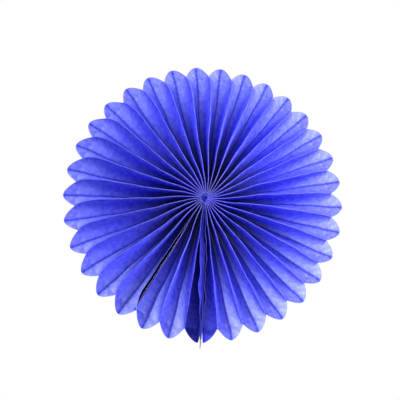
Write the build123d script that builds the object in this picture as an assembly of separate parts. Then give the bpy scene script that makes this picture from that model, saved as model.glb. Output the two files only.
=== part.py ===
from build123d import *
import math
import os

# A round tissue paper fan, as hung on a wall at a party: pleated leaves of thin tissue stand
# around a hub, and the two ends of the row meet at a seam below the hub, on two end cards.
# Millimetres. The disc stands upright in XZ, its front faces -Y, and the origin is the middle
# of the hub. Angles are in degrees, clockwise from straight down, as seen from the front.

# Fan
tip_radius = 150.0
whole_leaves = 32
hub_radius = 4.6

# Pleats stand further apart beside the seam than across from it: the first turn is that of a
# pleat a quarter of the way round, and the second how much further the far side is turned
spread_skew = 2.1
far_side_turn = 0.5

# Leaf: a strip of tissue folded along its middle, its outer end cut to a rounded point.
# Roundness 0.5 cuts it to a half ellipse, and 1 to a parabola that meets the fold at a corner.
# Front margins are glued to the neighbours' as far out as the notch, where the panels have
# opened to the notch tilt. From there the tip is free.
paper = 0.15
panel_width = 27.0
end_cut_length = 48.0
end_cut_roundness = 0.62
notch_tilt = 56.0
blunt_tip = 0.2
glue_margin = 2.0
glue_film = 0.05

# The pleats turn a little about the hub, as far out as the radius where they are gathered
swirl_angle = 5.0
gather_radius = 47.0

# Seam: the row's two end leaves each lie against an end card, their folds just off it
seam_half_angle = 6.9
seam_fold_offset = 0.25
seam_fold_spread = 0.8
card_thickness = 0.4
card_foot_clearance = 1.0
card_overhang = 6.0
card_setback = 1.5
tape_thickness = 0.1
tape_inset = 4.0
tape_width = 18.0

# Spine: a strip that holds the leaves' inner ends, rolled into a tube about the pin hole
spine_bore_radius = 1.2
spine_seat = 0.1
spine_slit = 0.3
spine_chamfer = 1.2

pitch = (360.0 - 2 * seam_half_angle) / whole_leaves
shoulder_radius = tip_radius - end_cut_length
back_y = panel_width / 2
card_face = tape_thickness / 2 + card_thickness
card_foot_radius = gather_radius + card_foot_clearance


def slope_at(angle):
    return math.tan(math.radians(angle))


def midway(near, far):
    return (near + far) / 2


def width_at(reach):
    """Width of one panel at a distance from the hub: straight, then cut in towards the fold."""
    past = max(0.0, reach - shoulder_radius) / end_cut_length
    return panel_width * max(0.0, 1.0 - past * past) ** end_cut_roundness


def notch_reach():
    """Where a panel, less its margin, spans half a pitch at the notch tilt."""
    tilt_sine = math.sin(math.radians(notch_tilt))
    near, far = shoulder_radius, tip_radius
    for _ in range(40):
        middle = midway(near, far)
        if (width_at(middle) - glue_margin) * tilt_sine > slope_at(pitch / 2) * middle:
            near = middle
        else:
            far = middle
    return near


notch_radius = notch_reach()


def swirl_at(reach):
    """Turn of the pleats about the hub, which fades out at the gather radius."""
    inside = max(0.0, 1.0 - reach / gather_radius)
    return swirl_angle * inside * inside


# How many corners lie between the fold and each corner of a leaf's section, in its order.
# Facets are split from the fold outwards, so both faces of the paper bend alike.
corner_ranks = [0, 1, 2, 2, 1, 0, 1, 2, 2, 1]


def leg(reach, fold, edge):
    """One panel's section: its margin's four corners, its lean and its thickness across."""
    side = 1 if edge(notch_radius) > fold(notch_radius) else -1
    width = width_at(reach)
    margin = glue_margin * min(1.0, width / width_at(notch_radius))
    slant = width - margin
    span = abs(edge(reach) - fold(reach))
    if reach > notch_radius:
        notch_span = abs(edge(notch_radius) - fold(notch_radius))
        span = slant * notch_span / (width_at(notch_radius) - glue_margin)
    rise = math.sqrt(slant * slant - span * span)
    across = paper * slant / rise
    outside = fold(reach) + side * span
    inside = outside - side * across
    glued_y = back_y - rise
    front_y = glued_y - margin
    corners = [(outside, glued_y), (outside, front_y), (inside, front_y), (inside, glued_y)]
    return corners, span / rise, across


def section(reach, left, fold, right):
    """A leaf's section across its fold, at a distance from the hub."""
    right_corners, right_lean, right_across = leg(reach, fold, right)
    left_corners, left_lean, left_across = leg(reach, fold, left)
    crotch = (right_across + left_across) / (right_lean + left_lean)
    crotch_x = fold(reach) + crotch * right_lean - right_across
    corners = [(fold(reach), back_y)] + right_corners
    corners += [(crotch_x, back_y - crotch)] + left_corners[::-1]
    turn = math.radians(swirl_at(reach))
    outward = Vector(-math.sin(turn), 0, -math.cos(turn))
    sideways = Vector(-math.cos(turn), 0, math.sin(turn))
    place = Plane(origin=outward * reach, x_dir=sideways, z_dir=outward)
    return [place.from_local_coords(Vector(x, y, 0)) for x, y in corners]


def flat_face(*points):
    return Face(Wire.make_polygon(points, close=True))


def leaf(left, fold, right):
    """A folded leaf that hangs straight down from the hub, as flat facets of paper.

    left, fold and right give where its two glued edges and its fold lie, off the
    vertical, at a distance from the hub.
    """
    spans = [
        (hub_radius, gather_radius, (0.0, 0.15, 0.4, 0.7)),
        (gather_radius, shoulder_radius, (0.0, 0.5)),
        (shoulder_radius, notch_radius, (0.0, 0.5)),
        (notch_radius, tip_radius - blunt_tip, (0.0, 0.4, 0.7, 0.9, 1.0)),
    ]
    reaches = [near + share * (far - near) for near, far, shares in spans for share in shares]
    rings = [section(reach, left, fold, right) for reach in reaches]
    faces = [flat_face(*rings[0]), flat_face(*rings[-1])]
    corners = list(zip(corner_ranks, corner_ranks[1:] + corner_ranks[:1]))
    for near, far in zip(rings, rings[1:]):
        for i, (rank, next_rank) in enumerate(corners):
            j = (i + 1) % len(corners)
            start, end = (i, j) if rank <= next_rank else (j, i)
            faces.append(flat_face(near[start], near[end], far[end]))
            faces.append(flat_face(near[start], far[end], far[start]))
    return Solid(Shell(faces))


def ridge_angle(number):
    """Angle of the glued ridge after this many whole leaves from the seam."""
    even = seam_half_angle + pitch * number
    turn = math.radians(even)
    return even + spread_skew * math.sin(turn) + far_side_turn * math.sin(turn / 2) ** 2


def whole_leaf(number):
    """A leaf glued to a neighbour on each side, folded midway and turned into its place."""
    opening = ridge_angle(number + 1) - ridge_angle(number)
    slope = slope_at(opening / 2)
    film = glue_film / 2
    pleat = leaf(lambda r: film - r * slope, lambda r: 0.0, lambda r: r * slope - film)
    return pleat.rotate(Axis.Y, ridge_angle(number) + opening / 2)


def seam_leaf(side):
    """An end leaf of the row, glued to its end card: side is 1 for the first, -1 for the last."""
    outermost = ridge_angle(0) if side > 0 else 360.0 - ridge_angle(whole_leaves)
    slope = slope_at(outermost)
    spread = slope_at(seam_fold_spread)
    film = glue_film / 2

    def card_side(reach):
        out = min(1.0, (reach - hub_radius) / (gather_radius - hub_radius))
        return side * (film + out * (card_face + film))

    def fold(reach):
        return card_side(reach) + side * (seam_fold_offset + (reach - hub_radius) * spread)

    def far_side(reach):
        return side * (reach * slope - film)

    if side > 0:
        return leaf(card_side, fold, far_side)
    return leaf(far_side, fold, card_side)


def end_card():
    """The card behind the first seam leaf: its outline, a little longer and set back in front."""
    tip = tip_radius + card_overhang
    front_y = card_setback - back_y
    trim = (panel_width - card_setback) / panel_width
    cut = []
    for step in range(9):
        reach = shoulder_radius + end_cut_length * math.sin(math.radians(90 * step / 8))
        cut.append((reach + card_overhang, back_y - trim * width_at(reach)))
    outline = Line((card_foot_radius, front_y), cut[0])
    outline += Spline(*cut)
    outline += Polyline((tip, back_y), (card_foot_radius, back_y), (card_foot_radius, front_y))
    place = Plane(origin=(-tape_thickness / 2, 0, 0), x_dir=(0, 0, -1), z_dir=(1, 0, 0))
    return extrude(place * make_face(outline), -card_thickness)


def adhesive_tape():
    """Double-sided tape between the two cards, in from their edges."""
    near = card_foot_radius + tape_inset
    far = midway(shoulder_radius, tip_radius)
    return Pos(0, 0, -midway(near, far)) * Box(tape_thickness, tape_width, far - near)


def spine():
    """The rolled strip inside the leaves' inner ends, slit where its ends meet."""
    radius = hub_radius - spine_seat
    roll = Rot(X=90) * Cylinder(radius, panel_width)
    roll = chamfer(roll.edges().filter_by(GeomType.CIRCLE), spine_chamfer)
    roll -= Rot(X=90) * Cylinder(spine_bore_radius, panel_width)
    return roll - Pos(0, 0, -radius / 2) * Box(spine_slit, panel_width, radius)


parts = {
    "spine": spine(),
    "end_card_left": end_card(),
    "end_card_right": end_card().mirror(Plane.YZ),
    "adhesive_tape": adhesive_tape(),
    "leaf_01": seam_leaf(1),
}
for number in range(whole_leaves):
    parts[f"leaf_{number + 2:02d}"] = whole_leaf(number)
parts[f"leaf_{whole_leaves + 2:02d}"] = seam_leaf(-1)

os.makedirs("parts", exist_ok=True)
for name, piece in parts.items():
    export_step(piece, f"parts/{name}.step")
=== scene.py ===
import math
import random

import bpy
import numpy as np
from mathutils import Matrix, Vector


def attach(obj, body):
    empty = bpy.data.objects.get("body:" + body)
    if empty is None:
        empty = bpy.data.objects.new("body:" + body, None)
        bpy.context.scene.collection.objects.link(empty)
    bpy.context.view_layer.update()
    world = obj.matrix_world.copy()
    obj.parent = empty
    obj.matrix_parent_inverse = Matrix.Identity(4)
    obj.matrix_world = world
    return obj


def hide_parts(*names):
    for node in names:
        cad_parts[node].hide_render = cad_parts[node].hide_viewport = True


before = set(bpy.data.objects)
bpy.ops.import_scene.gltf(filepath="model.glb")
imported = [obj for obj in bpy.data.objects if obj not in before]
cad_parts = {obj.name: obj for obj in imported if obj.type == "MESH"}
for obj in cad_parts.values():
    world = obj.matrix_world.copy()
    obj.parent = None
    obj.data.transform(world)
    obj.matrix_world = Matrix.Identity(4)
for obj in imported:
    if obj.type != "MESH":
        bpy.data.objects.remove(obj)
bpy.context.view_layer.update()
mm = 0.001

# Leaves
# Thirty-four strips of tissue paper, each folded along its middle and cut to a rounded point
# at its outer end. Their front margins are glued to each other's from the hub to the notch
# between two petals; past it the tips spring open. The sizes here are in millimetres.
tip_radius = 150.0
whole_leaves = 32
hub_radius = 4.6
spread_skew = 2.1
far_side_turn = 0.5
seam_half_angle = 6.9
sheet = 0.15
panel_width = 27.0
end_cut_length = 48.0
end_cut_roundness = 0.62
notch_tilt = 56.0
glue_margin = 2.0
glue_film = 0.05
blunt_tip = 0.2
back_y = panel_width / 2
front_y = -panel_width / 2
shoulder_radius = tip_radius - end_cut_length
pitch = (360.0 - 2 * seam_half_angle) / whole_leaves
halvings = 40


def slope_at(angle):
    return math.tan(math.radians(angle))


def angle_of(slope):
    return math.degrees(math.atan(slope))


def width_at(reach):
    """Width of one panel at a distance from the hub: straight, then cut in towards the fold."""
    past = max(0.0, reach - shoulder_radius) / end_cut_length
    return panel_width * max(0.0, 1.0 - past * past) ** end_cut_roundness


def notch_reach():
    """Where a panel, less its margin, spans half a pitch at the notch tilt."""
    near, far = shoulder_radius, tip_radius
    for _ in range(halvings):
        middle = (near + far) / 2
        span = (width_at(middle) - glue_margin) * math.sin(math.radians(notch_tilt))
        if span > slope_at(pitch / 2) * middle:
            near = middle
        else:
            far = middle
    return near


notch_radius = notch_reach()


def ease(low, high, value):
    """0 below low, 1 above high and a smooth turn between them."""
    share = np.clip((value - low) / (high - low), 0.0, 1.0)
    return share * share * (3.0 - 2.0 * share)


# The pleats turn about the hub, since they were gathered there. The cards hold the seam's
# straighter, and the swirl is whole this many pleats away from it.
gather_radius = 47.0
swirl_radius = 60.0
swirl_angle = 12.0
swirl_freed = 4.0


def off_seam(number, freed):
    """From 0, a pleat past the seam's own ridge, to 1, this many pleats away from it."""
    return ease(-1.0, freed, min(number, whole_leaves - number))


def swirl_at(number, reach):
    """Turn of a pleat about the hub, in degrees."""
    free = off_seam(number, swirl_freed)
    inside = max(0.0, 1.0 - reach / swirl_radius)
    gathered = max(0.0, 1.0 - reach / gather_radius)
    return swirl_angle * (free * inside * inside + (1.0 - free) * gathered * gathered / 2)


# No form in the paper is quite even, so each strays by its own wavy line. A line is a sum of
# sines whose lengths in millimetres each vary by this much, and whose phases are by chance.
full_turn = 6.28
wave_luck = (0.8, 1.25)


def waver(seed, wave_lengths):
    """A smooth random line along the leaf, about 1 high: sines of these wave lengths."""
    luck = random.Random(seed)
    waves = [(length * luck.uniform(*wave_luck), luck.uniform(0, full_turn)) for length in wave_lengths]
    return lambda reach: sum(math.sin(full_turn * reach / length + phase) for length, phase in waves)


def ridge_angle(number):
    """Angle of the glued ridge after this many whole leaves from the seam."""
    even = seam_half_angle + pitch * number
    turn = math.radians(even)
    return even + spread_skew * math.sin(turn) + far_side_turn * math.sin(turn / 2) ** 2


# Each ridge leans over clockwise by these degrees, most near one side of the fan, and wavers by
# these millimetres. Both grow from the hub, and the notch holds both.
ridge_lean = 1.25
lean_swing = 0.55
lean_most_at = 80.0
lean_luck = 0.2
lean_shape = 16.0
lean_freed = 2.0
lean_full_at = 35.0
ridge_waver = 0.17
ridge_waves = (61.0, 33.0)
waver_full_at = 25.0

ridge_wave = [waver(f"ridge {number}", ridge_waves) for number in range(whole_leaves + 1)]
lean_of = []
for number in range(whole_leaves + 1):
    luck = random.Random(f"lean {number}").uniform(-lean_luck, lean_luck)
    swing = lean_swing * math.cos(math.radians(ridge_angle(number) - lean_most_at))
    lean_of.append(ridge_lean + swing + luck)


def ridge_stray(number, reach):
    """Degrees that a ridge lies off its own angle: it leans over clockwise, and wavers."""
    held = max(0.0, 1.0 - (reach / notch_radius) ** lean_shape)
    lean = lean_of[number] * off_seam(number, lean_freed) * held * ease(hub_radius, lean_full_at, reach)
    off = ridge_waver * ridge_wave[number](reach) * held * ease(hub_radius, waver_full_at, reach)
    return lean + math.degrees(off / reach)


# One ridge has come unglued. Its two panels meet near their folds, and in front of that they
# stand apart by the gap, which opens from the hub outwards and shuts again at the notch.
open_ridge = 2
open_ridge_gap = 3.8
gap_from = 14.0
gap_whole_at = 75.0
gap_shuts_over = 18.0
lips_hold = 0.3
lips_turn = 0.2


def lips_at(number, reach):
    """How far each margin of a ridge stands off it, which is nothing but at the open ridge."""
    if number != open_ridge:
        return 0.0
    held = 1.0 - ease(notch_radius - gap_shuts_over, notch_radius, reach)
    return open_ridge_gap / 2 * held * ease(gap_from, gap_whole_at, reach)


# A leaf's mesh has rows of points at these distances from the hub, and each panel has columns
# of them from its fold to its glued edge, with a few more along its margin.
rows_to_gather = 18
rows_to_shoulder = 15
rows_to_notch = 13
rows_to_tip = 15
panel_columns = 11
margin_shares = np.array([0.35, 0.7, 1.0])
bend_samples = 61
sharp_angle = 40
quarter_turn = np.linspace(0, math.pi / 2, rows_to_tip)
stations = np.concatenate([
    np.linspace(hub_radius, gather_radius, rows_to_gather)[:-1],
    np.linspace(gather_radius, shoulder_radius, rows_to_shoulder)[:-1],
    np.linspace(shoulder_radius, notch_radius, rows_to_notch)[:-1],
    notch_radius + (tip_radius - blunt_tip - notch_radius) * np.sin(quarter_turn),
])
panel_shares = np.linspace(0.0, 1.0, panel_columns)

# A panel bows out by a share of its half opening, less at the free tip, and is crumpled by
# these millimetres where it is open wide enough. Past the notch its margin is all but gone.
panel_spring = 0.17
spring_luck = (0.6, 1.3)
tip_freed_over = 8.0
tip_calm = 0.8
crumple = 0.24
crumple_room = 8.0
margin_lost = 0.9
least_rise = 1e-6

# Inside the open ridge's slot the paper is painted dark, a painted shadow, and lets no light
# through; it lets less through where the cut bruised the petals' edges
slot_shadow_turn = 0.15
slot_shadow_depth = 3.0
slot_shadow_from_lips = 0.2
slot_shadow_whole_lips = 0.8
cut_bruise = 0.44


def panel_section(reach, span, edge_x, side, spring, crease, lips):
    """One panel from its fold to its front edge: outer and inner points, flat widths and gum.

    span is the half opening it is folded to, edge_x where its glued edge really lies. Gum is 1
    at the glued front edge. The outer face has its own, below 0 where it is bruised or painted in shadow.
    """
    width = width_at(reach)
    free = ease(notch_radius, notch_radius + tip_freed_over, reach)
    margin = glue_margin * min(1.0, width / width_at(notch_radius))
    slant = width - margin
    rise = math.sqrt(max(least_rise, slant * slant - span * span))
    across = sheet * slant / rise

    shares = np.linspace(0.0, 1.0, bend_samples)
    bow = 4 * shares * (1 - shares)
    lean = math.atan2(abs(edge_x), rise)
    push = spring * abs(edge_x) * (1 - tip_calm * free) * bow
    push = push + crumple * ease(0.0, crumple_room, abs(edge_x)) * bow * crease(reach, shares)
    x = shares * edge_x + side * push * math.cos(lean)
    y = back_y - rise * shares + push * math.sin(lean)
    if lips > 0:
        apart = ease(0.0, lips_hold, shares)
        let_go = ease(lips_hold, lips_hold + lips_turn, shares)
        x = apart * (edge_x - side * lips) + side * lips * (1 - let_go) * apart

    # The inner face runs a sheet's thickness behind, from where it meets the other panel's
    outer = np.c_[np.interp(panel_shares, shares, x), np.interp(panel_shares, shares, y)]
    meets = np.interp(across, side * x, shares)
    inner_shares = meets + (1 - meets) * panel_shares
    inner = np.c_[np.interp(inner_shares, shares, x), np.interp(inner_shares, shares, y)]
    inner[:, 0] -= side * across
    inner[0, 0] = 0.0

    # The margin runs straight to the front, and is all but gone a little past the notch
    forward = margin * (1 - margin_lost * free) * margin_shares
    count = len(forward)
    outer = np.vstack([outer, np.c_[np.full(count, x[-1]), y[-1] - forward]])
    inner = np.vstack([inner, np.c_[np.full(count, inner[-1, 0]), inner[-1, 1] - forward]])
    flat = np.concatenate([panel_shares * slant, slant + forward])
    gum = np.concatenate([np.zeros(panel_columns), forward / glue_margin])
    slot_shadowed = np.concatenate([ease(lips_hold, lips_hold + slot_shadow_turn, panel_shares), np.zeros(count)])
    bruised = np.concatenate([np.zeros(panel_columns - 1), np.full(count + 1, cut_bruise * free)])
    backed = gum - bruised - slot_shadowed * slot_shadow_depth * ease(slot_shadow_from_lips, slot_shadow_whole_lips, lips)
    return outer, inner, flat, gum, backed


# Each panel has a few soft dents, given by their length and how far they slant across it
dents_each = 4
dent_lengths = (14, 34)
dent_slants = (-1.2, 1.2)
dent_heights = (0.3, 0.6)
calm_waves = (80.0, 47.0)
usual_dent = 0.6
dent_swing = 0.2


def crease_of(seed):
    """Soft dents across a panel, as tissue keeps from being packed flat."""
    luck = random.Random(seed)
    dents = [
        (
            luck.uniform(*dent_lengths),
            luck.uniform(*dent_slants),
            luck.uniform(0, full_turn),
            luck.uniform(*dent_heights),
        )
        for _ in range(dents_each)
    ]
    calm = waver(seed + " calm", calm_waves)

    def crease(reach, shares):
        total = sum(
            height * np.sin(full_turn * (reach / length + slant * shares) + phase)
            for length, slant, phase, height in dents
        )
        return total * (usual_dent + dent_swing * calm(reach))

    return crease


def glued_edge(reach, side, edge, fold):
    """A panel's half opening, how far across its fold its glued edge lies, and how far out."""
    if reach <= notch_radius:
        opening = abs(edge[0](reach) - fold[0](reach))
        span = reach * slope_at(opening) - glue_film / 2
        lag = math.radians(edge[1](reach) - fold[1](reach))
        far = reach / math.cos(math.radians(opening))
        return span, far * math.sin(lag) - side * glue_film / 2, far * math.cos(lag)

    # Past the notch the panel keeps the tilt that it has there
    notch_opening = abs(edge[0](notch_radius) - fold[0](notch_radius))
    notch_span = notch_radius * slope_at(notch_opening)
    width = width_at(reach)
    slant = width - glue_margin * min(1.0, width / width_at(notch_radius))
    span = slant * notch_span / (width_at(notch_radius) - glue_margin)
    return span, side * span, reach


# The fan sags about its hub, most in front
hub_sag = 1.2
sag_radius = 70.0


def leaf_rings(name, edges, fold):
    """Closed sections of a leaf from hub to tip, their places on the flat paper and their gum.

    edges are the two ridges as (angle it is folded to, angle where it lies, how far its lips
    stand apart), each by reach, and fold has the first two. Angles are in degrees.
    """
    sides = (-1, 1)
    creases = [crease_of(f"{name} {side}") for side in sides]
    springs = [
        panel_spring * random.Random(f"{name} spring {side}").uniform(*spring_luck) for side in sides
    ]
    rings, flats, gums = [], [], []
    for reach in stations:
        halves = []
        for side, edge, crease, spring in zip(sides, edges, creases, springs):
            span, edge_x, edge_out = glued_edge(reach, side, edge, fold)
            outer, inner, flat, gum, backed = panel_section(
                reach, span, edge_x, side, spring, crease, edge[2](reach)
            )
            share = np.minimum(1.0, flat / flat[panel_columns - 1])
            out = reach + (edge_out - reach) * share
            halves.append((outer, inner, side * flat, gum, backed, out))
        outer, inner, flat, gum, backed, out = (
            np.concatenate([left[::-1], right[1:]]) for left, right in zip(*halves)
        )
        turn = math.radians(fold[1](reach))
        sine, cosine = math.sin(turn), math.cos(turn)
        near_hub = max(0.0, 1.0 - reach / sag_radius) ** 2
        ring = []
        for points, outs in ((outer, out), (inner[::-1], out[::-1])):
            sag = hub_sag * near_hub * (back_y - points[:, 1]) / panel_width
            ring.append(np.c_[
                -outs * sine - points[:, 0] * cosine,
                points[:, 1],
                -outs * cosine + points[:, 0] * sine - sag,
            ])
        rings.append(np.vstack(ring) * mm)
        across = np.concatenate([flat, flat[::-1]])
        flats.append(np.c_[np.full(len(across), reach), across] * mm)
        gums.append(np.concatenate([backed, gum[::-1]]))
    return rings, flats, gums


def quads_between(rings, count):
    """Faces that join rings of this many points each, one ring to the next."""
    faces = []
    for base in range(0, (rings - 1) * count, count):
        for i in range(count):
            j = (i + 1) % count
            faces.append((base + i, base + j, base + count + j, base + count + i))
    return faces


def lay_flat(mesh, flats):
    """Gives each point its place on the flat paper, in metres, as the mesh's UVs."""
    corner = np.empty(len(mesh.loops), dtype=np.int32)
    mesh.loops.foreach_get("vertex_index", corner)
    flat_map = mesh.uv_layers.new(name="flat_paper")
    flat_map.data.foreach_set("uv", flats[corner].astype(np.float32).ravel())


def put_in_scene(name, data):
    thing = bpy.data.objects.new(name, data)
    bpy.context.scene.collection.objects.link(thing)
    return thing


def sheet_object(name, rings, flats, gums):
    """A closed thin sheet from its sections, with the flat paper as its UVs."""
    count = len(rings[0])
    faces = quads_between(len(rings), count)
    last = (len(rings) - 1) * count
    for i in range(count // 2 - 1):
        back = count - 1 - i
        faces.append((back, back - 1, i + 1, i))
        faces.append((last + i, last + i + 1, last + back - 1, last + back))
    mesh = bpy.data.meshes.new(name)
    mesh.from_pydata([tuple(point) for point in np.vstack(rings)], [], faces)
    mesh.validate()
    lay_flat(mesh, np.vstack(flats))
    gum = mesh.attributes.new("gum", "FLOAT", "POINT")
    gum.data.foreach_set("value", np.concatenate(gums).astype(np.float32))
    mesh.shade_smooth()
    mesh.set_sharp_from_angle(angle=math.radians(sharp_angle))
    return put_in_scene(name, mesh)


def paint(colour):
    """An sRGB hex colour as the linear values that a shader takes."""
    parts = [int(colour[i:i + 2], 16) / 255 for i in (1, 3, 5)]
    return [p / 12.92 if p <= 0.04045 else ((p + 0.055) / 1.055) ** 2.4 for p in parts] + [1.0]


def add_node(owner, kind, settings=None, **inputs):
    """Adds a node to a material or a world.

    settings are its own, and inputs its sockets, each by its name, or by its number as in i2,
    with a value or with another node's output to link.
    """
    node = owner.node_tree.nodes.new(kind)
    for key, value in (settings or {}).items():
        setattr(node, key, value)
    for key, value in inputs.items():
        numbered = key[0] == "i" and key[1:].isdigit()
        socket = node.inputs[int(key[1:]) if numbered else key.replace("_", " ")]
        if isinstance(value, bpy.types.NodeSocket):
            owner.node_tree.links.new(value, socket)
        else:
            socket.default_value = value
    return node


def new_material(name):
    material = bpy.data.materials.new(name)
    material.use_nodes = True
    material.node_tree.nodes.clear()
    return material


# Tissue paper, dyed blue in the pulp: thin, matt and cloudy, so a single layer lets light
# through and shows paler, and layers behind each other turn deep blue. Its fibres are really
# finer than this, and are drawn as coarse as they need to be to show.
dyed_tissue = new_material("dyed tissue paper")
cloud_size = 5.0 * mm
fibre_length = 2.4 * mm
fibre_width = 0.5 * mm
fibre_relief = 0.05 * mm
wrinkle_pitch = 5.0 * mm
wrinkle_length = 22.0 * mm
wrinkle_relief = 0.7 * mm

flat_paper = add_node(dyed_tissue, "ShaderNodeUVMap", {"uv_map": "flat_paper"}).outputs["UV"]
clouds = add_node(
    dyed_tissue, "ShaderNodeTexNoise", Vector=flat_paper, Scale=1 / cloud_size,
    Detail=5.0, Roughness=0.6,
)
fibre_grid = add_node(
    dyed_tissue, "ShaderNodeMapping", Vector=flat_paper, Scale=(1 / fibre_length, 1 / fibre_width, 1.0)
)
fibres = add_node(
    dyed_tissue, "ShaderNodeTexNoise", Vector=fibre_grid.outputs[0], Scale=1.0,
    Detail=3.0, Distortion=0.6,
)
wrinkle_grid = add_node(
    dyed_tissue, "ShaderNodeMapping", Vector=flat_paper, Scale=(1 / wrinkle_pitch, 1 / wrinkle_length, 1.0)
)
wrinkles = add_node(
    dyed_tissue, "ShaderNodeTexNoise", Vector=wrinkle_grid.outputs[0], Scale=1.0,
    Detail=2.0, Distortion=0.4,
)
formation = add_node(
    dyed_tissue, "ShaderNodeMix", {"data_type": "FLOAT"}, Factor=0.4,
    i2=clouds.outputs["Fac"], i3=fibres.outputs["Fac"],
)
cloudy = add_node(
    dyed_tissue, "ShaderNodeMapRange", Value=formation.outputs[0],
    From_Min=0.36, From_Max=0.64, To_Min=0.0, To_Max=1.0,
)
lit_blue = add_node(
    dyed_tissue, "ShaderNodeMix", {"data_type": "RGBA"}, Factor=cloudy.outputs[0],
    i6=paint("#3032D2"), i7=paint("#6064EE"),
)

# The glued front edges are painted paler, a painted highlight where the ridges catch the light
gum_bruise_and_shade = add_node(dyed_tissue, "ShaderNodeAttribute", {"attribute_name": "gum"})
ridge_highlight = add_node(
    dyed_tissue, "ShaderNodeMapRange", Value=gum_bruise_and_shade.outputs["Fac"],
    From_Min=0.5, From_Max=1.0, To_Min=0.0, To_Max=0.35,
)
highlit_ridge_blue = add_node(
    dyed_tissue, "ShaderNodeMix", {"data_type": "RGBA"}, Factor=ridge_highlight.outputs[0],
    i6=lit_blue.outputs[2], i7=paint("#A4A2FA"),
)

# Along the fold the blue is painted darker, as painted shade in the crease. The fade starts
# short of the fold, so that the fold's line is drawn to a point.
crease_start = -0.6 * mm
crease_width = 2.6 * mm
along = add_node(dyed_tissue, "ShaderNodeSeparateXYZ", Vector=flat_paper)
off_fold = add_node(dyed_tissue, "ShaderNodeMath", {"operation": "ABSOLUTE"}, i0=along.outputs["Y"])
crease_shade = add_node(
    dyed_tissue, "ShaderNodeMapRange", {"interpolation_type": "SMOOTHSTEP"}, Value=off_fold.outputs[0],
    From_Min=crease_start, From_Max=crease_width, To_Min=0.85, To_Max=0.0,
)
crease_shaded_blue = add_node(
    dyed_tissue, "ShaderNodeMix", {"data_type": "RGBA"}, Factor=crease_shade.outputs[0],
    i6=highlit_ridge_blue.outputs[2], i7=paint("#1E1AB0"),
)

# Painted shade: towards the hub, and away from the ridges towards the folds, the blue is
# painted darker, where the pleats shade each other
hub_shade_from = 16.0 * mm
hub_shade_ends = 92.0 * mm
fold_shade_width = 8.0 * mm
from_hub = add_node(
    dyed_tissue, "ShaderNodeMapRange", {"interpolation_type": "SMOOTHSTEP"}, Value=along.outputs["X"],
    From_Min=hub_shade_from, From_Max=hub_shade_ends, To_Min=0.85, To_Max=0.0,
)
from_ridge = add_node(
    dyed_tissue, "ShaderNodeMapRange", {"interpolation_type": "SMOOTHSTEP"}, Value=off_fold.outputs[0],
    From_Min=fold_shade_width, From_Max=panel_width * mm, To_Min=1.0, To_Max=0.0,
)
pleat_shade_share = add_node(
    dyed_tissue, "ShaderNodeMath", {"operation": "MULTIPLY"},
    i0=from_hub.outputs[0], i1=from_ridge.outputs[0],
)
pleat_shaded_blue = add_node(
    dyed_tissue, "ShaderNodeMix", {"data_type": "RGBA"}, Factor=pleat_shade_share.outputs[0],
    i6=crease_shaded_blue.outputs[2], i7=paint("#0E0C5C"),
)

# Painted shadow: where a ridge has come open, the faces inside its slot are painted dark, and
# the end leaves' painted shade darkens them in the same way
painted_shade_share = add_node(
    dyed_tissue, "ShaderNodeMapRange", Value=gum_bruise_and_shade.outputs["Fac"],
    From_Min=-0.25, From_Max=-1.0, To_Min=0.0, To_Max=1.0,
)
face_blue = add_node(
    dyed_tissue, "ShaderNodeMix", {"data_type": "RGBA"}, Factor=painted_shade_share.outputs[0],
    i6=pleat_shaded_blue.outputs[2], i7=paint("#0A0A3E"),
)
thin_blue = add_node(
    dyed_tissue, "ShaderNodeMix", {"data_type": "RGBA"}, Factor=cloudy.outputs[0],
    i6=paint("#B0B6EE"), i7=paint("#DADFFA"),
)
# The light let through is painted darker along the fold too, with the crease's painted shade
through_blue = add_node(
    dyed_tissue, "ShaderNodeMix", {"data_type": "RGBA"}, Factor=crease_shade.outputs[0],
    i6=thin_blue.outputs[2], i7=paint("#6A70C4"),
)

# The share of light let through is painted by place: little towards the hub and most at the
# tips, standing in for the leaves that lie close behind one another, and less on the clockwise
# half of each leaf than on the other, a painted shade. Paper that is bruised or painted in
# shade lets least through.
through_light_from = 55.0 * mm
fold_half_width = 0.5 * mm
painted_light_by_reach = add_node(
    dyed_tissue, "ShaderNodeMapRange", {"interpolation_type": "SMOOTHSTEP"}, Value=along.outputs["X"],
    From_Min=through_light_from, From_Max=tip_radius * mm, To_Min=0.2, To_Max=0.86,
)
painted_half_shade = add_node(
    dyed_tissue, "ShaderNodeMapRange", Value=along.outputs["Y"],
    From_Min=-fold_half_width, From_Max=fold_half_width, To_Min=0.66, To_Max=0.45,
)
painted_through_share = add_node(
    dyed_tissue, "ShaderNodeMath", {"operation": "MULTIPLY"},
    i0=painted_light_by_reach.outputs[0], i1=painted_half_shade.outputs[0],
)
unbruised_unshaded = add_node(
    dyed_tissue, "ShaderNodeMapRange", Value=gum_bruise_and_shade.outputs["Fac"],
    From_Min=-0.1, From_Max=-0.36, To_Min=1.0, To_Max=0.0,
)
let_through = add_node(
    dyed_tissue, "ShaderNodeMath", {"operation": "MULTIPLY"},
    i0=painted_through_share.outputs[0], i1=unbruised_unshaded.outputs[0],
)
fibre_bump = add_node(
    dyed_tissue, "ShaderNodeBump", Height=fibres.outputs["Fac"], Strength=0.25, Distance=fibre_relief
)
wrinkle_bump = add_node(
    dyed_tissue, "ShaderNodeBump", Height=wrinkles.outputs["Fac"], Normal=fibre_bump.outputs[0],
    Strength=0.6, Distance=wrinkle_relief,
)
soft_gloss = add_node(
    dyed_tissue, "ShaderNodeMath", {"operation": "MULTIPLY"}, i0=unbruised_unshaded.outputs[0], i1=0.12
)
matt_face = add_node(
    dyed_tissue, "ShaderNodeBsdfPrincipled", Base_Color=face_blue.outputs[2],
    Normal=wrinkle_bump.outputs[0], Roughness=0.85, IOR=1.45, Specular_IOR_Level=soft_gloss.outputs[0],
)
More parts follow.
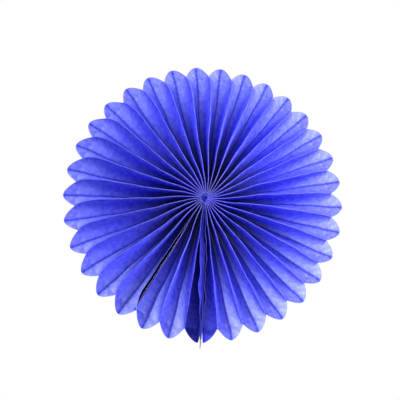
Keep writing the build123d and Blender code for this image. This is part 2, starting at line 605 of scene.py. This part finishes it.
lit_through = add_node(
    dyed_tissue, "ShaderNodeBsdfTranslucent", Color=through_blue.outputs[2], Normal=wrinkle_bump.outputs[0]
)
tissue_mix = add_node(
    dyed_tissue, "ShaderNodeMixShader", Fac=let_through.outputs[0],
    i1=matt_face.outputs[0], i2=lit_through.outputs[0],
)
add_node(dyed_tissue, "ShaderNodeOutputMaterial", Surface=tissue_mix.outputs[0])


def hang_leaf(number, edges, fold, shade=0.0):
    """Makes a leaf. shade is painted shade: it lowers the leaf's gum, which darkens the leaf and cuts the
    light let through it.
    """
    name = f"leaf_{number:02d}"
    rings, flats, gums = leaf_rings(name, edges, fold)
    leaf = sheet_object(f"tissue_{name}", rings, flats, [gum - shade for gum in gums])
    leaf.data.materials.append(dyed_tissue)
    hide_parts(name)
    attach(leaf, "root")


# The whole leaves, each between two ridges, with a fold that wavers by these millimetres
fold_waver = 0.25
fold_waves = (70.0, 41.0)
fold_full_at = 60.0


def ridge_edge(number):
    """A ridge as a leaf beside it is folded to it, as it really lies, and its lips."""
    base = ridge_angle(number)
    return (
        lambda reach: base,
        lambda reach: base + swirl_at(number, reach) + ridge_stray(number, reach),
        lambda reach: lips_at(number, reach),
    )


def whole_fold(number):
    """The fold midway between two ridges, and as it really lies."""
    middle = (ridge_angle(number) + ridge_angle(number + 1)) / 2
    fold_wave = waver(f"fold {number}", fold_waves)

    def lies(reach):
        off = fold_waver * fold_wave(reach) * ease(hub_radius, fold_full_at, reach)
        return middle + swirl_at(number + 0.5, reach) + math.degrees(off / reach)

    return (lambda reach: middle, lies)


for number in range(whole_leaves):
    hang_leaf(number + 2, (ridge_edge(number), ridge_edge(number + 1)), whole_fold(number))

# The row's two end leaves: each has one margin glued to an end card, and so little room
# that it stays almost shut. Their front edges were never held straight, so they waver.
card_thickness = 0.4
tape_thickness = 0.1
seam_fold_offset = 0.25
seam_fold_spread = 0.8
fold_off_card = 0.04
folds_part_from = 112.0
folds_apart_at = 142.0
card_face = tape_thickness / 2 + card_thickness
fold_leaves_seam = gather_radius - 4.0
fold_meets_card = gather_radius + 2.0

# The edge of the first leaf stands further off its card than the last leaf's
first_loose = 3.6
last_loose = 1.3
loose_from = 8.0
loose_whole_at = 45.0
loose_shuts_over = 30.0
loose_waver = 0.6
loose_waves = (37.0, 23.0)
loose_waver_full_at = 30.0
# Painted shade on the two end leaves, more on the first: it darkens them and cuts the light through them
first_shade = 0.5
last_shade = 0.29


def card_side(reach):
    """How far off the seam's middle a seam leaf's edge is glued: further out, to clear the card."""
    film = glue_film / 2
    out = min(1.0, (reach - hub_radius) / (gather_radius - hub_radius))
    return film + out * (card_face + film)


def seam_fold(reach):
    return card_side(reach) + seam_fold_offset + (reach - hub_radius) * slope_at(seam_fold_spread)


def seam_fold_lies(reach):
    """The two folds all but touch as far as the cards, lie on these, and part at the tip."""
    beside_card = ease(fold_leaves_seam, fold_meets_card, reach)
    on_card = sheet / 2 + (card_side(reach) + fold_off_card - sheet / 2) * beside_card
    return on_card + (seam_fold(reach) - on_card) * ease(folds_part_from, folds_apart_at, reach)


def seam_swirl(reach):
    return swirl_angle / 2 * max(0.0, 1.0 - reach / gather_radius) ** 2


def seam_fold_lines(side):
    """A seam leaf's fold: side is 1 for the first leaf, and -1 for the last."""
    return (
        lambda reach: side * angle_of(seam_fold(reach) / reach),
        lambda reach: side * angle_of(seam_fold_lies(reach) / reach) + seam_swirl(reach),
    )


def seam_edge(side, stand_off_card):
    """A seam leaf's edge beside its card."""
    wave = waver(f"seam {side}", loose_waves)

    def folded(reach):
        return side * angle_of(card_side(reach) / reach)

    def lies(reach):
        held = 1 - ease(notch_radius - loose_shuts_over, notch_radius, reach)
        off = side * stand_off_card * ease(loose_from, loose_whole_at, reach) * held
        off += loose_waver * wave(reach) * ease(loose_from, loose_waver_full_at, reach) * held
        return folded(reach) + seam_swirl(reach) + math.degrees(off / reach)

    return (folded, lies, lambda reach: 0.0)


def turned_back(edge):
    """The same ridge, with its angles a whole turn less."""
    folded, lies, lips = edge
    return (lambda reach: folded(reach) - 360.0, lambda reach: lies(reach) - 360.0, lips)


first_edges = (seam_edge(1, first_loose), ridge_edge(0))
last_edges = (turned_back(ridge_edge(whole_leaves)), seam_edge(-1, last_loose))
hang_leaf(1, first_edges, seam_fold_lines(1), first_shade)
hang_leaf(whole_leaves + 2, last_edges, seam_fold_lines(-1), last_shade)

# Spine
# A strip of the same tissue, rolled up inside the leaves' inner ends and glued to them. From
# the front its end is a soft pinched rosette about the small hole that a pin goes through.
spine_radius = 4.5
spine_bore = 1.2
spine_turns = 136

# Its outline by radius and by how far it lies behind the front, then in front of the back
front_outline = [
    (spine_bore, 4.0), (spine_bore, 0.8), (1.25, 0.4), (1.4, 0.2), (1.7, 0.1),
    (2.3, 0.05), (3.0, 0.15), (3.7, 0.5), (4.2, 1.1), (spine_radius, 2.2),
]
back_outline = [
    (spine_radius, 1.2), (4.0, 0.4), (3.3, 0.1), (2.4, 0.2), (1.6, 0.6), (spine_bore, 1.4),
]
spine_outline = [(radius, front_y + behind) for radius, behind in front_outline]
spine_outline += [(radius, back_y - ahead) for radius, ahead in back_outline]
spine_outline.append(spine_outline[0])

# Its ends are gathered into pleats of this depth, uneven in width, in a slightly lobed round.
# It has no fold, so its paper lies this far off one, which sets how much of the pleats'
# painted shade falls on its rosette.
rosette_pleats = 11
rosette_depth = 0.6
rosette_share = 0.8
rosette_dent = 0.3
rosette_set_back = 0.05
pleat_sway = 2.0
pleat_sways = 3
spine_lobes = 5
lobe_height = 0.06
lobe_phase = 1.0
gathered_from = spine_bore - 0.1
gathered_by = 1.9
rim_begins = 3.9
off_any_fold = 6.0

spine_points, spine_flats = [], []
run = 0.0
last_radius, last_y = spine_outline[0]
for radius, y in spine_outline:
    run += math.hypot(radius - last_radius, y - last_y)
    last_radius, last_y = radius, y
    soft = ease(gathered_from, gathered_by, radius) * (1 - ease(rim_begins, spine_radius, radius))
    sag = hub_sag * (back_y - y) / panel_width
    for step in range(spine_turns):
        angle = 2 * math.pi * step / spine_turns
        pleat = math.sin(rosette_pleats * angle + pleat_sway * math.sin(pleat_sways * angle) + radius)
        lift = rosette_depth * soft * pleat * (1 if y < 0 else -1)
        depth = y + max(lift, -rosette_dent) * rosette_share + rosette_set_back
        radial = radius * (1 + lobe_height * soft * math.sin(spine_lobes * angle + lobe_phase))
        height = -radial * math.cos(angle) - sag
        spine_points.append((-radial * math.sin(angle) * mm, depth * mm, height * mm))
        spine_flats.append((run * mm, (off_any_fold + radius * angle) * mm))

spine_mesh = bpy.data.meshes.new("rolled_spine")
spine_mesh.from_pydata(spine_points, [], quads_between(len(spine_outline), spine_turns))
lay_flat(spine_mesh, np.array(spine_flats))
spine_mesh.shade_smooth()
spine_mesh.materials.append(dyed_tissue)
rolled_spine = put_in_scene("rolled_spine", spine_mesh)
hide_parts("spine")
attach(rolled_spine, "root")

# End cards
# Two strips of thin grey-brown board, die-cut to the leaves' outline and a little longer.
# They stiffen the two ends of the row, and their tips are what one holds to open the fan.
card_overhang = 6.0
card_setback = 1.5
card_foot = gather_radius + 1.0
card_trim = (panel_width - card_setback) / panel_width
cut_steps = 24
cut_edge = 0.08

# Uncoated board is matt and flecked with pulp, which is really finer than it is drawn
fleck_size = 0.8 * mm
fleck_relief = 0.05 * mm
grey_board = new_material("uncoated grey board")
board_place = add_node(grey_board, "ShaderNodeTexCoord").outputs["Object"]
board_fleck = add_node(
    grey_board, "ShaderNodeTexNoise", Vector=board_place, Scale=1 / fleck_size, Detail=4.0
)
board_colour = add_node(
    grey_board, "ShaderNodeMix", {"data_type": "RGBA"}, Factor=board_fleck.outputs["Fac"],
    i6=paint("#8E8672"), i7=paint("#C2BBA6"),
)

# The board is faced with the leaf's tissue nearly as far out as the leaf goes, and bare past it.
# The facing is painted a darker blue than the leaves' paper, painted shade for the narrow slot it lies in.
facing_end = tip_radius - 4.0
facing_fade = 1.0
board_along = add_node(grey_board, "ShaderNodeSeparateXYZ", Vector=board_place)
bare_share = add_node(
    grey_board, "ShaderNodeMapRange", Value=board_along.outputs["Z"],
    From_Min=-facing_end * mm, From_Max=-(facing_end + facing_fade) * mm, To_Min=0.0, To_Max=1.0,
)
faced_shaded_colour = add_node(
    grey_board, "ShaderNodeMix", {"data_type": "RGBA"}, Factor=bare_share.outputs[0],
    i6=paint("#2A289E"), i7=board_colour.outputs[2],
)
board_bump = add_node(
    grey_board, "ShaderNodeBump", Height=board_fleck.outputs["Fac"], Strength=0.3, Distance=fleck_relief
)
board_face = add_node(
    grey_board, "ShaderNodeBsdfPrincipled", Base_Color=faced_shaded_colour.outputs[2],
    Normal=board_bump.outputs[0], Roughness=0.9, IOR=1.5,
)
add_node(grey_board, "ShaderNodeOutputMaterial", Surface=board_face.outputs[0])

for side, node in ((1, "end_card_left"), (-1, "end_card_right")):
    outline = [(card_foot, back_y), (card_foot, front_y + card_setback)]
    for step in range(cut_steps + 1):
        reach = shoulder_radius + end_cut_length * math.sin(math.pi / 2 * step / cut_steps)
        outline.append((reach + card_overhang, back_y - card_trim * width_at(reach)))
    near = [(-side * tape_thickness / 2 * mm, y * mm, -reach * mm) for reach, y in outline]
    far = [(-side * card_face * mm, y * mm, -reach * mm) for reach, y in outline]
    count = len(outline)
    card_faces = [tuple(range(count)), tuple(range(2 * count - 1, count - 1, -1))]
    card_faces += [(i, count + i, count + (i + 1) % count, (i + 1) % count) for i in range(count)]
    card_mesh = bpy.data.meshes.new(f"board_{node}")
    card_mesh.from_pydata(near + far, [], card_faces)
    card_mesh.materials.append(grey_board)
    card = put_in_scene(f"board_{node}", card_mesh)
    rounded = card.modifiers.new("soft cut edge", "BEVEL")
    rounded.width = cut_edge * mm
    rounded.segments = 2
    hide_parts(node)
    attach(card, "root")

# Adhesive tape
# A strip of double-sided tape on the inner face of one card. When the fan is opened round,
# the other card is pressed on to it, which shuts the circle.
tape_inset = 4.0
tape_width = 18.0
tape_near = card_foot + tape_inset
tape_far = (shoulder_radius + tip_radius) / 2
tape_rows = 40

# The glue on it is smooth and cream, so it has more gloss than the paper, and is a little cloudy
tape_cloud_size = 1.5 * mm
cream_tape = new_material("double-sided tape")
tape_place = add_node(cream_tape, "ShaderNodeTexCoord").outputs["Object"]
tape_clouds = add_node(
    cream_tape, "ShaderNodeTexNoise", Vector=tape_place, Scale=1 / tape_cloud_size, Detail=2.0
)
tape_colour = add_node(
    cream_tape, "ShaderNodeMix", {"data_type": "RGBA"}, Factor=tape_clouds.outputs["Fac"],
    i6=paint("#E6DEC6"), i7=paint("#F4F0E2"),
)
tape_face = add_node(
    cream_tape, "ShaderNodeBsdfPrincipled", Base_Color=tape_colour.outputs[2], Roughness=0.35, IOR=1.48
)
add_node(cream_tape, "ShaderNodeOutputMaterial", Surface=tape_face.outputs[0])

tape_corners = ((-1, -1), (-1, 1), (1, 1), (1, -1))
tape_points = []
for row in range(tape_rows + 1):
    z = -(tape_near + (tape_far - tape_near) * row / tape_rows)
    for x, y in tape_corners:
        tape_points.append((x * tape_thickness / 2 * mm, y * tape_width / 2 * mm, z * mm))
last = tape_rows * len(tape_corners)
tape_faces = [(3, 2, 1, 0), (last, last + 1, last + 2, last + 3)]
tape_faces += quads_between(tape_rows + 1, len(tape_corners))
tape_mesh = bpy.data.meshes.new("seam_tape")
tape_mesh.from_pydata(tape_points, [], tape_faces)
tape_mesh.materials.append(cream_tape)
seam_tape = put_in_scene("seam_tape", tape_mesh)
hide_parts("adhesive_tape")
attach(seam_tape, "root")

# Camera
# It stands a little to the left of the fan and below it, as the photograph's did, and is rolled
# a little. It is aimed these few pixels off the back of the hub.
stand_off = 977.0
camera_turn = -4.0
camera_height = -10.94
camera_roll = -1.51
lens_length = 82.05
sensor = 36.0
image_width = 400
aim_right = 3.8
aim_down = 1.5

turn = math.radians(camera_turn)
lift = math.radians(camera_height)
roll = math.radians(camera_roll)
back = Vector((math.sin(turn) * math.cos(lift), -math.cos(turn) * math.cos(lift), math.sin(lift)))
level = Vector((math.cos(turn), math.sin(turn), 0))
upward = level.cross(-back)
camera_x = level * math.cos(roll) - upward * math.sin(roll)
camera_y = level * math.sin(roll) + upward * math.cos(roll)
hub_back = Vector((0, back_y * mm, 0))
pixel = sensor / image_width * stand_off / lens_length * mm
place = hub_back + back * stand_off * mm
target = hub_back - camera_x * aim_right * pixel + camera_y * aim_down * pixel
sight = (place - target).normalized()
right = (camera_x - sight * camera_x.dot(sight)).normalized()
facing = Matrix((right, sight.cross(right), sight)).transposed().to_4x4()

camera_data = bpy.data.cameras.new("camera")
camera_data.lens = lens_length
camera_data.sensor_width = sensor
camera = put_in_scene("camera", camera_data)
camera.matrix_world = Matrix.Translation(place) @ facing
bpy.context.scene.camera = camera

# Light
# Four softboxes: one on each side in front, and two behind that come through the paper, above
# the fan and low on its right. The room is even and pale, and what is seen of it plain white.
room_strength = 0.28
backdrop_strength = 1.0
room_white = (1.0, 1.0, 1.0, 1.0)
world = bpy.data.worlds.new("pale room")
bpy.context.scene.world = world
world.use_nodes = True
world.node_tree.nodes.clear()
room_light = add_node(world, "ShaderNodeBackground", Color=room_white, Strength=room_strength)
backdrop = add_node(world, "ShaderNodeBackground", Color=room_white, Strength=backdrop_strength)
ray = add_node(world, "ShaderNodeLightPath")
seen = add_node(
    world, "ShaderNodeMath", {"operation": "MAXIMUM"},
    i0=ray.outputs["Is Camera Ray"], i1=ray.outputs["Is Glossy Ray"],
)
seen_all = add_node(
    world, "ShaderNodeMath", {"operation": "MAXIMUM"},
    i0=seen.outputs[0], i1=ray.outputs["Is Transmission Ray"],
)
room = add_node(
    world, "ShaderNodeMixShader", Fac=seen_all.outputs[0],
    i1=room_light.outputs[0], i2=backdrop.outputs[0],
)
add_node(world, "ShaderNodeOutputWorld", Surface=room.outputs[0])

# Each has its place and its width in metres, and its power in watts
for name, place, size, energy in (
    ("right softbox", (0.46, -0.34, 0.18), 0.3, 9.4),
    ("left softbox", (-0.50, -0.36, 0.40), 0.4, 5.0),
    ("top softbox behind", (0.04, 0.28, 0.62), 0.5, 10.0),
    ("low right softbox behind", (0.52, 0.36, -0.10), 0.5, 11.0),
):
    lamp_data = bpy.data.lights.new(name, "AREA")
    lamp_data.shape = "DISK"
    lamp_data.size = size
    lamp_data.energy = energy
    lamp = put_in_scene(name, lamp_data)
    lamp.location = place
    lamp.rotation_mode = "QUATERNION"
    lamp.rotation_quaternion = (-lamp.location).to_track_quat("-Z", "Y")

# Floor
# Plain pale ground, matt and even, well below the fan, which hangs free. Its sizes are in
# metres.
floor_drop = 0.62
floor_reach = 0.9
pale_ground = new_material("pale ground")
ground_face = add_node(
    pale_ground, "ShaderNodeBsdfPrincipled", Base_Color=paint("#F2F2F2"), Roughness=0.9
)
add_node(pale_ground, "ShaderNodeOutputMaterial", Surface=ground_face.outputs[0])
floor_corners = [
    (x * floor_reach, y * floor_reach, -floor_drop) for x, y in ((-1, -1), (1, -1), (1, 1), (-1, 1))
]
floor_mesh = bpy.data.meshes.new("floor")
floor_mesh.from_pydata(floor_corners, [], [(0, 1, 2, 3)])
floor_mesh.materials.append(pale_ground)
floor = put_in_scene("floor", floor_mesh)

bpy.context.scene.view_settings.view_transform = "Standard"
